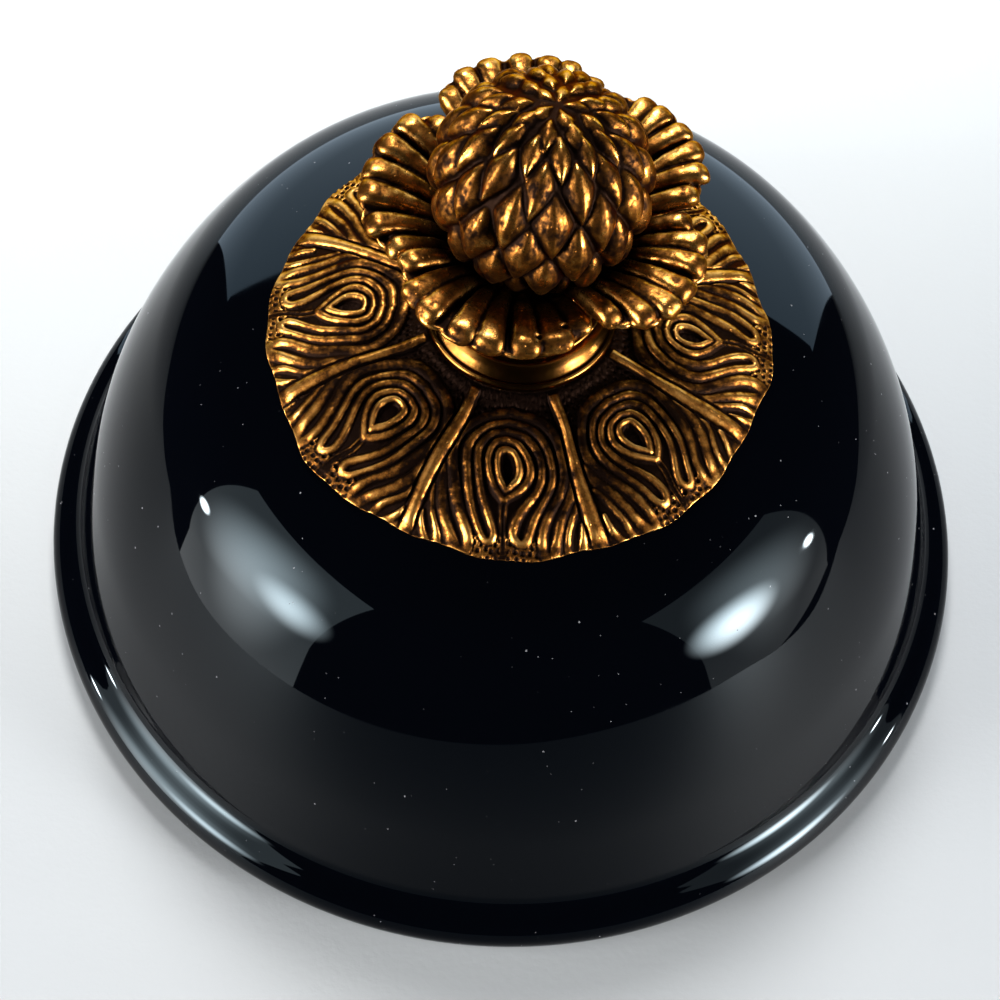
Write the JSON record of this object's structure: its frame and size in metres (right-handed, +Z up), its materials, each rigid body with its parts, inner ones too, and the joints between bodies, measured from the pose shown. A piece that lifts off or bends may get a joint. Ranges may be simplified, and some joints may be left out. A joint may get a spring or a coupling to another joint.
{
  "type": "domed lid with finial",
  "caption": "Black domed lid with a rolled rim, topped by a gilt rosette, a turned collar, a petalled calyx and a scaled bud finial.",
  "frame": {"origin": "middle of the rim's underside, where the lid stands", "axes": "+Z up the lid's axis to the finial; -Y is the side seen in the picture"},
  "size_m": [0.16, 0.16, 0.1296],
  "materials": {
    "black_glass": "gloss black, fire-polished, ground foot",
    "antique_gilt": "cast and chased, gilded, dark patina in the hollows",
    "bright_gilt": "turned and burnished gilding",
    "brass": "turned, dull",
    "leather": "plain, dark brown",
    "felt": "black felt"
  },
  "bodies": {
    "root": {"lid_shell": "black_glass", "rosette_pad": "felt", "rosette": "antique_gilt", "collar": "bright_gilt", "calyx_cup": "bright_gilt", "petal_front": "antique_gilt", "petal_right_front": "antique_gilt", "petal_right_back": "antique_gilt", "petal_back": "antique_gilt", "petal_left": "antique_gilt", "bud": "antique_gilt", "tie_rod": "brass", "inner_pad": "leather", "inner_washer": "brass", "nut": "brass"}
  },
  "joints": []
}
